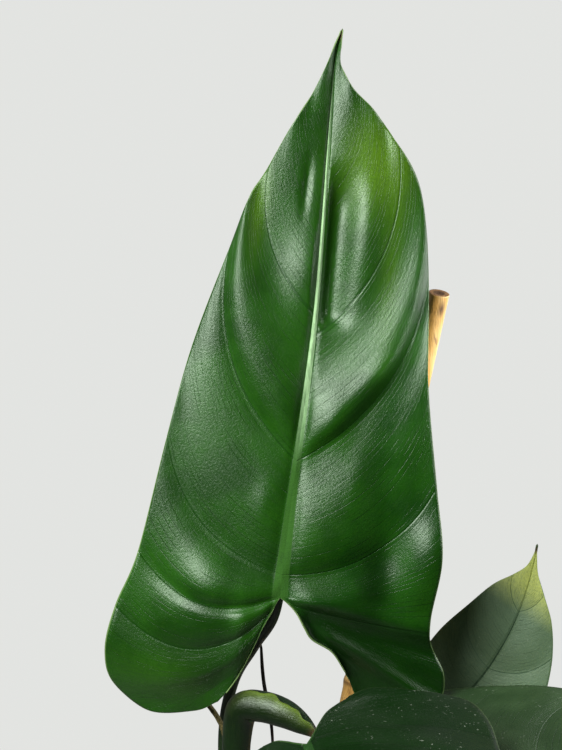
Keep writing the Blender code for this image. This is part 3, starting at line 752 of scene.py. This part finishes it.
def large_relief(side, at, across, from_rib, x, y):
    """The large leaf's skin: quilted between the veins, with each half's own hills, and a waved margin."""
    veins, bulges = (LEFT_VEINS, LEFT_BULGE) if side < 0 else (RIGHT_VEINS, RIGHT_BULGE)
    up = quilted(vein_count(at, veins), bulges, from_rib, across)
    up = left_relief(from_rib, x, y, up) if side < 0 else right_relief(at, from_rib, x, y, up)
    wave = math.sin(at * 2.4 + side) * 1.0 + math.sin(at * 4.7 + 2 * side) * 0.5
    return up + wave * across**4 * min(1, at / 3)


def large_look(side, x, y):
    """Painted light in sunlit patches on both halves, painted shade over the right lobe below its fold, in its
    hollow and low on the right half, and a dry tip.
    """
    # painted light: the sunlit patches
    sun = 0.75 * hump(x, y, (24, 214), (18, 24)) + 0.5 * hump(x, y, (-31, 190), (5, 26))
    sun += 0.12 * hump(x, y, (-54, -46), (26, 14)) + 0.3 * hump(x, y, (36, 165), (6, 40)) + 0.1
    if side > 0:
        # painted shade: the right lobe below its fold, and the hollow beside it
        sun -= 0.9 * ramp(y, 8 - 0.15 * x, -14 - 0.15 * x) + 1.0 * hump(x, y, (45, 14), (11, 20))
        # painted shade: low on the right half
        sun -= 0.35 * hump(x, y, (58, 90), (14, 50))
    return max(-1, min(1, sun)), max(0, min(1, (y - 271) / 4))


large_axes = blade_axes((0.014, -0.045, 0.435), (0.110, 0.173, 0.979), (0, -0.985, 0.174))
large_halves = {-1: (MIDRIB, LEFT_SINUS_RIB, LEFT_MARGIN, LEFT_BOW, LEFT_VEINS),
                1: (MIDRIB, RIGHT_SINUS_RIB, RIGHT_MARGIN, RIGHT_BOW, RIGHT_VEINS)}
blade("large", large_halves, large_axes, [large_upper, leaf_under, pale_edge], large_relief, large_look)

# ---- the younger leaves --------------------------------------------------------------------------
# Three smaller blades of the same plant: one reaches towards the viewer, one to the right, and one
# stands behind, facing forward. They are duller than the large leaf and carry some dust.
PLAIN_MIDRIB = (279, 255, 228, 198, 165, 120, 75, 35, 8, 0)
PLAIN_SINUS_RIB = ((2.5, -6), (6, -15), (10, -26), (15, -38), (23, -50))
PLAIN_MARGIN = ((0, 279), (2.5, 264), (7, 249), (18, 232), (34, 209), (48, 174), (60, 130), (68, 88),
                (74, 46), (79, 8), (83, -22), (80, -47), (65, -64), (44, -67), (28, -56))
PLAIN_BOW = (0, 0.04, 0.08, 0.12, 0.14, 0.15, 0.15, 0.15, 0.17, 0.2, 0.2, 0.16, 0.08, -0.02, 0)
PLAIN_VEINS = (0, 3, 5, 6.5, 8, 9.3, 14)
PLAIN_BULGES = ((0.5, 1), (1, 1), (1, 0.8), (1, 0.8), (0.9, 1), (0.7, 1))
UPPER_HALF = 120
YOUNG_ROWS, YOUNG_COLUMNS = 150, 44
BACK_LENGTH, BACK_SWEEP = 0.445, 13
FRONT_LENGTH, RIGHT_LENGTH = 0.84, 0.75


def plain_halves(width, length, fold, sweep=0.0, lobe_widths=(1.0, 1.0)):
    """Both sides of a younger leaf, from the left. fold: how far each falls away from the midrib. sweep: how
    far the midrib curves sideways. lobe_widths: how much of its width each side keeps over the lobe."""
    tip = PLAIN_MIDRIB[0]
    halves = {}
    for side, slope, lobe_width in ((-1, fold[0], lobe_widths[0]), (1, fold[1], lobe_widths[1])):

        def placed(x, y, side=side, slope=slope, lobe_width=lobe_width):
            curve = 4 * sweep * (y / tip) * (1 - y / tip)
            upper = min(max(y / UPPER_HALF, 0), 1)
            out = x * width * (lobe_width + (1 - lobe_width) * upper)
            return Vector((side * out + curve, y * length, -slope * out))

        halves[side] = ([placed(0, y) for y in PLAIN_MIDRIB], [placed(x, y) for x, y in PLAIN_SINUS_RIB],
                        [placed(x, y) for x, y in PLAIN_MARGIN], PLAIN_BOW, PLAIN_VEINS)
    return halves


def plain_relief(height):
    """The skin of a younger leaf, which bulges by this much in millimetres between its veins."""
    bulges = [(height * share, lean) for share, lean in PLAIN_BULGES]

    def relief(side, at, across, from_rib, x, y):
        wave = math.sin(at * 2.1 + 1.7 * side) * 0.35 * height
        up = quilted(vein_count(at, PLAIN_VEINS), bulges, from_rib, across)
        return up + wave * across**4 * min(1, at / 3)

    return relief


def plain_look(length, yellow_from, shaded_below=-200):
    """Yellower from this share of the length to the tip, and darkened by painted shade below a height in
    millimetres.
    """

    def look(side, x, y):
        end = y / (PLAIN_MIDRIB[0] * length)
        # painted shade: the blade darkens below the height given
        sun = min(1, max(0, (end - yellow_from) / 0.2) + 0.15) - 1.1 * ramp(y, shaded_below + 50, shaded_below)
        return sun, max(0, min(1, (end - 0.955) / 0.02))

    return look


# The back leaf's midrib colours are near-black: painted shade in the crease along its midrib.
back_upper = upper_skin("back_leaf_skin", coloured(0.044, 0.092, 0.050), coloured(0.066, 0.125, 0.074),
                        coloured(0.38, 0.43, 0.09), coloured(0.012, 0.034, 0.012),
                        coloured(0.012, 0.034, 0.012), roughness=0.50, gloss=0.4, rim=0.3, dust=0.2)
right_upper = upper_skin("right_leaf_skin", coloured(0.012, 0.033, 0.009), coloured(0.032, 0.066, 0.024),
                         coloured(0.030, 0.07, 0.012), coloured(0.03, 0.08, 0.02),
                         coloured(0.01, 0.05, 0.004), roughness=0.45, gloss=0.4, rim=0.2, dust=0.4)
# The front leaf's near-black greens are partly its own darker tone and partly painted shade.
front_upper = upper_skin("front_leaf_skin", coloured(0.001, 0.008, 0.0006), coloured(0.004, 0.022, 0.0025),
                         coloured(0.006, 0.04, 0.001), coloured(0.02, 0.06, 0.012),
                         coloured(0.01, 0.05, 0.004), roughness=0.42, gloss=0.25, rim=0.2, dust=0.55)
front_axes = blade_axes((0.025, -0.137, 0.405), (0.17, -0.985, 0), (-0.45, -0.08, 0.87))
right_axes = blade_axes((0.093, -0.076, 0.3620), (0.97, -0.1, 0.25), (-0.1, -0.3, 0.95))
back_axes = blade_axes((0.0885, 0.0210, 0.3330), (0.48, -0.04, 0.876), (-0.33, -0.93, 0.14))
# The front leaf is darkened by painted shade below 10 mm up its blade, near its base, where the large leaf's
# lobe hangs over it.
blade("front", plain_halves(0.88, FRONT_LENGTH, (0.6, 0.6)), front_axes, [front_upper, leaf_under, dark_edge],
      plain_relief(3.4), plain_look(FRONT_LENGTH, 0.9, 10), YOUNG_ROWS, YOUNG_COLUMNS, 10, 3, rib_girth=0.6)
blade("right", plain_halves(0.83, RIGHT_LENGTH, (0.15, 0.2)), right_axes, [right_upper, leaf_under, dark_edge],
      plain_relief(2.4), plain_look(RIGHT_LENGTH, 0.9), YOUNG_ROWS, YOUNG_COLUMNS, 25, 17, rib_girth=0.6)
blade("back", plain_halves(0.535, BACK_LENGTH, (0, -0.03), BACK_SWEEP, (0.6, 0.95)), back_axes,
      [back_upper, leaf_under, dark_edge], plain_relief(1.4), plain_look(BACK_LENGTH, 0.70), 130, 40, 7, 10,
      rib_girth=0.3)

# ---- the leaf stalks -----------------------------------------------------------------------------
# Smooth fleshy petioles, round with a shallow groove along the upper side. Each clasps the stem at its
# foot, stiffens into the back of its blade, and goes on as the raised midrib under it.
stalk, shader, place = shaded("stalk_skin", 0.42, 0.5)
flecks = clouds(stalk, stretched(stalk, place, 700, 700, 160), 1, 3)
shades = fade(stalk, clouds(stalk, place, 40, 2), 0.3, 0.7)
# painted shade: the stalks' green is darkened to near-black, as they stand in the shade of the blades
tone = mixed(stalk, shades, coloured(0.005, 0.016, 0.003), coloured(0.014, 0.036, 0.007))
tone = mixed(stalk, fade(stalk, flecks, 0.56, 0.7, 0, 0.4), tone, coloured(0.04, 0.08, 0.02))
wire(stalk, shader, Base_Color=tone, Normal=bumped(stalk, flecks, 0.0002))


def stalk_shape(share, angle):
    """Wider where it clasps the stem, with a shallow groove along the rest."""
    clasp = math.exp(-share * 22)
    return 1 + 0.55 * clasp - 0.10 * max(0, math.cos(angle)) ** 6 * (1 - clasp)


def petiole(name, route, axes, radius, midrib, droop=FLAT):
    """The stalk, then the raised midrib along the blade's back, a little under its skin."""
    out = axes.to_3x3().col[2].normalized()
    stations = [Vector(place) for place in route]
    sizes = [radius * 1.25, radius] + [radius * 0.84] * (len(route) - 2)
    for i, point in enumerate(midrib):
        girth = radius * (0.72 - 0.60 * i / (len(midrib) - 1))
        stations.append(axes @ bent(Vector(point), droop, FLAT) - out * (girth + 0.0010))
        sizes.append(girth)
    bm = tube(stations, sizes, 260, 20, stalk_shape)
    piece(name + "_stalk", bm, [stalk], "stalk", name + "_leaf_petiole")


def plain_midrib(length, sweep=0.0):
    """Places along a younger blade's midrib, in millimetres."""
    tip = PLAIN_MIDRIB[0]
    return [(4 * sweep * (y / tip) * (1 - y / tip), y * length, 0) for y in (10, 50, 100, 150, 200, 245)]


petiole("large", ((-0.0078, 0.000, 0.2160), (-0.012, -0.003, 0.250), (-0.014, -0.003, 0.290),
                  (-0.0155, -0.006, 0.345), (-0.0100, -0.012, 0.378), (0.0008, -0.021, 0.401),
                  (0.0105, -0.033, 0.421)),
        large_axes, 0.0034, [MIDRIB[i] for i in (9, 8, 7, 6, 5, 4, 3, 2)])
petiole("front", ((0.002, -0.010, 0.190), (0.006, -0.024, 0.225), (0.010, -0.040, 0.255),
                  (0.018, -0.085, 0.320), (0.022, -0.117, 0.368), (0.0245, -0.130, 0.392)),
        front_axes, 0.0032, plain_midrib(FRONT_LENGTH), 10)
petiole("right", ((0.0085, -0.005, 0.170), (0.018, -0.012, 0.192), (0.036, -0.028, 0.238),
                  (0.066, -0.050, 0.302), (0.082, -0.064, 0.334), (0.090, -0.072, 0.352)),
        right_axes, 0.0030, plain_midrib(RIGHT_LENGTH), 25)
petiole("back", ((0.0080, -0.004, 0.147), (0.020, -0.001, 0.165), (0.040, 0.005, 0.205),
                 (0.068, 0.019, 0.265), (0.083, 0.027, 0.308), (0.0880, 0.0275, 0.325)),
        back_axes, 0.0022, plain_midrib(BACK_LENGTH, BACK_SWEEP), 7)

# ---- the new leaf --------------------------------------------------------------------------------
# The next leaf, still rolled like a scroll, has come out of its sheath and arches over to the right.
# Its outer edge laps over the roll as a wavy, pale margin, and its tip is already dark.
ROLL_ROUTE = ((-0.004, -0.012, 0.222), (-0.007, -0.020, 0.280), (-0.008, -0.026, 0.335),
              (-0.0075, -0.029, 0.357), (-0.0042, -0.032, 0.3732), (0.005, -0.036, 0.3760),
              (0.016, -0.041, 0.3745), (0.025, -0.046, 0.3710), (0.033, -0.051, 0.3665))
ROLL_RADII = (0.0050, 0.0062, 0.0070, 0.0075, 0.0083, 0.0082, 0.0074, 0.0052, 0.0012)
ROLL_EDGE = (1.2, 1.2, 1.2, 1.20, 1.20, 1.20, 1.02, 0.95, 1.10)
ROLL_TURNS = 1.6
ROLL_ROWS, ROLL_SIDES = 220, 90
ROLL_FRONT = Vector((-0.25, -0.95, 0.1))  # the way that the free edge lies round the roll
ROLL_THICKNESS = 0.0005

# The new leaf's near-black greens are partly its own dark green and partly painted shade.
roll_skin = upper_skin("new_leaf_skin", coloured(0.0008, 0.006, 0.0004), coloured(0.003, 0.017, 0.0013),
                       coloured(0.12, 0.19, 0.022), coloured(0.1, 0.2, 0.04), coloured(0.1, 0.2, 0.04),
                       roughness=0.34)
bm = bmesh.new()
layers = skin_layers(bm)
rows = [spline(ROLL_ROUTE, (len(ROLL_ROUTE) - 1) * i / ROLL_ROWS) for i in range(ROLL_ROWS + 1)]
girths, starts = values_along(ROLL_RADII, ROLL_ROWS), values_along(ROLL_EDGE, ROLL_ROWS)
for vert in bmesh.ops.create_grid(bm, x_segments=ROLL_ROWS, y_segments=ROLL_SIDES, size=0.5)["verts"]:
    i = round((vert.co.x + 0.5) * ROLL_ROWS)
    share, around = i / ROLL_ROWS, vert.co.y + 0.5
    way = (rows[min(i + 1, ROLL_ROWS)] - rows[max(i - 1, 0)]).normalized()
    facing = (ROLL_FRONT - ROLL_FRONT.dot(way) * way).normalized()
    flap = 1 - around
    near_edge = math.exp(-flap * 12)
    wavy = 0.10 * math.sin(share * 48) + 0.05 * math.sin(share * 83 + 1)
    angle = starts[i] - math.tau * ROLL_TURNS * flap + wavy * near_edge * ramp(share, 0.5, 0.65)
    under = ramp(flap * ROLL_TURNS, 0.78, 1.0)
    lip = 0.10 * near_edge * ramp(share, 0.5, 0.7) * (1 - ramp(share, 0.9, 1))
    radius = girths[i] * (1 - 0.10 * flap - 0.22 * under + lip)
    vert.co = rows[i] + radius * (facing * math.cos(angle) - way.cross(facing) * math.sin(angle))
    pale = math.exp(-flap * 20) * ramp(share, 0.40, 0.58)
    # pale is the margin's own yellow-green band; painted shade darkens the turns further round from the free
    # edge
    sun = 0.95 * pale - 0.7 * ramp(flap, 0.12, 0.32)
    keep(vert, layers, (flap * 9 + share * 3, 9.0, 9.0, sun, ramp(share, 0.92, 0.98), 0.5, share))
uv = bm.loops.layers.uv.new("veins")
for face in bm.faces:
    for loop in face.loops:
        loop[uv].uv = (0.5, loop.vert[layers["across"]])
roll = piece("rolled_leaf", bm, [roll_skin, leaf_under, pale_edge], "young_leaf", "new_leaf_roll")
thickened(roll, ROLL_THICKNESS, -1, 1, 2)

# ---- the aerial root and the dry sheath ----------------------------------------------------------
# An olive aerial root reaches up and out behind the stem, dry and slightly ridged. Beside it stands
# the thin black remains of the sheath that the large leaf came out of.
root_skin, shader, place = shaded("aerial_root_skin", 0.7, 0.3)
scurf = clouds(root_skin, place, 650, 4)
dryness = fade(root_skin, scurf, 0.35, 0.68)
tone = mixed(root_skin, dryness, coloured(0.075, 0.065, 0.018), coloured(0.23, 0.19, 0.07))
wire(root_skin, shader, Base_Color=tone, Normal=bumped(root_skin, scurf, 0.0004))


def root_shape(share, angle):
    ridges = noise.noise(Vector((share * 40, math.cos(angle), math.sin(angle))))
    return 1 + 0.10 * ridges - max(0, share - 0.97) * 20


root_route = ((-0.0105, -0.003, 0.188), (-0.021, -0.008, 0.240), (-0.018, -0.014, 0.310),
              (-0.014, -0.018, 0.350), (-0.026, -0.016, 0.372), (-0.040, -0.012, 0.384),
              (-0.050, -0.010, 0.380))
root_radii = (0.0019, 0.0017, 0.0015, 0.0014, 0.0013, 0.0012, 0.0008)
piece("air_root", tube(root_route, root_radii, 150, 14, root_shape), [root_skin], "root", "aerial_root")

husk, shader, place = shaded("dried_sheath", 0.6, 0.4)
wrinkles = clouds(husk, stretched(husk, place, 1500, 1500, 200), 1, 3)
tone = mixed(husk, fade(husk, wrinkles, 0.4, 0.7), coloured(0.010, 0.007, 0.005), coloured(0.06, 0.038, 0.02))
wire(husk, shader, Base_Color=tone, Normal=bumped(husk, wrinkles, 0.0004))


def husk_shape(share, angle):
    return (0.55 + 0.55 * abs(math.cos(angle + share * 5))) * (1 - max(0, share - 0.96) * 18)


husk_route = ((0.0020, -0.006, 0.214), (0.0095, -0.006, 0.290), (0.010, -0.007, 0.345),
              (0.0055, -0.010, 0.378), (0.0042, -0.0125, 0.400))
husk_radii = (0.0014, 0.0011, 0.0010, 0.0009, 0.0007)
piece("sheath_remains", tube(husk_route, husk_radii, 120, 14, husk_shape), [husk], "dry_sheath", "dry_sheath")

# ---- the studio ----------------------------------------------------------------------------------
# A pale floor that fades into a pale surround, one large soft light from the upper left on the
# camera's side, a weak fill from the right, and a narrow lamp on the top of the cane. The camera looks
# down at the plant by ten degrees.
WALL = (0.765, 0.775, 0.755)
FLOOR_RADIUS = 0.65

floor_finish = bpy.data.materials.new("pale_floor")
floor_finish.use_nodes = True
floor_finish.node_tree.nodes.clear()
place = add(floor_finish, "TexCoord", {}).outputs["Object"]
out = add(floor_finish, "VectorMath", {0: place}, operation="LENGTH").outputs[1]
seen = add(floor_finish, "LightPath", {}).outputs["Is Camera Ray"]
tone = mixed(floor_finish, seen, coloured(0.16, 0.16, 0.155), coloured(0.46, 0.47, 0.46))
diffuse = add(floor_finish, "BsdfDiffuse", {0: tone}).outputs[0]
clear = add(floor_finish, "BsdfTransparent", {}).outputs[0]
fading = fade(floor_finish, out, 0.34, 0.62)
shown = add(floor_finish, "MixShader", {0: fading, 1: diffuse, 2: clear}).outputs[0]
ending = floor_finish.node_tree.nodes.new("ShaderNodeOutputMaterial")
floor_finish.node_tree.links.new(shown, ending.inputs[0])
bm = bmesh.new()
bmesh.ops.create_circle(bm, cap_ends=True, segments=96, radius=FLOOR_RADIUS)
floor_mesh = bpy.data.meshes.new("floor")
bm.to_mesh(floor_mesh)
bm.free()
floor = bpy.data.objects.new("floor", floor_mesh)
bpy.context.scene.collection.objects.link(floor)
floor_mesh.materials.append(floor_finish)

world = bpy.data.worlds.new("surround")
bpy.context.scene.world = world
world.use_nodes = True
sky = world.node_tree
background = sky.nodes["Background"]
direction = sky.nodes.new("ShaderNodeTexCoord").outputs["Generated"]
facing = sky.nodes.new("ShaderNodeVectorMath")
facing.operation = "DOT_PRODUCT"
sky.links.new(direction, facing.inputs[0])
facing.inputs[1].default_value = Vector((-0.35, 0.55, 0.75)).normalized()
rise = sky.nodes.new("ShaderNodeMapRange")
sky.links.new(facing.outputs["Value"], rise.inputs[0])
for socket, value in zip(rise.inputs[1:5], (-0.3, 0.9, 0.03, 0.24)):
    socket.default_value = value
path = sky.nodes.new("ShaderNodeLightPath")
choose = sky.nodes.new("ShaderNodeMix")
choose.data_type = "RGBA"
sky.links.new(path.outputs["Is Camera Ray"], choose.inputs[0])
sky.links.new(rise.outputs[0], choose.inputs[6])
choose.inputs[7].default_value = (*WALL, 1)
sky.links.new(choose.outputs[2], background.inputs[0])
background.inputs[1].default_value = 1.0


def hang(light, place, aim):
    lamp = bpy.data.objects.new(light.name, light)
    bpy.context.scene.collection.objects.link(lamp)
    lamp.location = place
    lamp.rotation_euler = (Vector(aim) - Vector(place)).to_track_quat("-Z", "Y").to_euler()


def soft_light(name, place, aim, size, power):
    light = bpy.data.lights.new(name, "AREA")
    light.shape = "DISK"
    light.size = size
    light.energy = power
    hang(light, place, aim)


soft_light("window", (-1.13, -1.43, 1.78), (0.03, 0, 0.55), 1.5, 102)
soft_light("wall_bounce", (1.35, 0.35, 0.95), (0.05, 0, 0.45), 1.3, 24)
narrow_light = bpy.data.lights.new("cane_lamp", "SPOT")
narrow_light.energy = 90
narrow_light.spot_size = math.radians(6)
narrow_light.spot_blend = 0.8
narrow_light.shadow_soft_size = 0.03
hang(narrow_light, (1.10, -0.58, 0.84), (0.104, 0.02, 0.545))

camera_data = bpy.data.cameras.new("camera")
camera_data.lens = 62.0
camera_data.sensor_width = 36.0
camera = bpy.data.objects.new("camera", camera_data)
bpy.context.scene.collection.objects.link(camera)
camera.location = (0.01448, -0.63699, 0.64808)
camera.rotation_euler = (math.radians(80), 0, 0)
camera_data.clip_start = 0.01
bpy.context.scene.camera = camera
bpy.context.scene.view_settings.view_transform = "Standard"
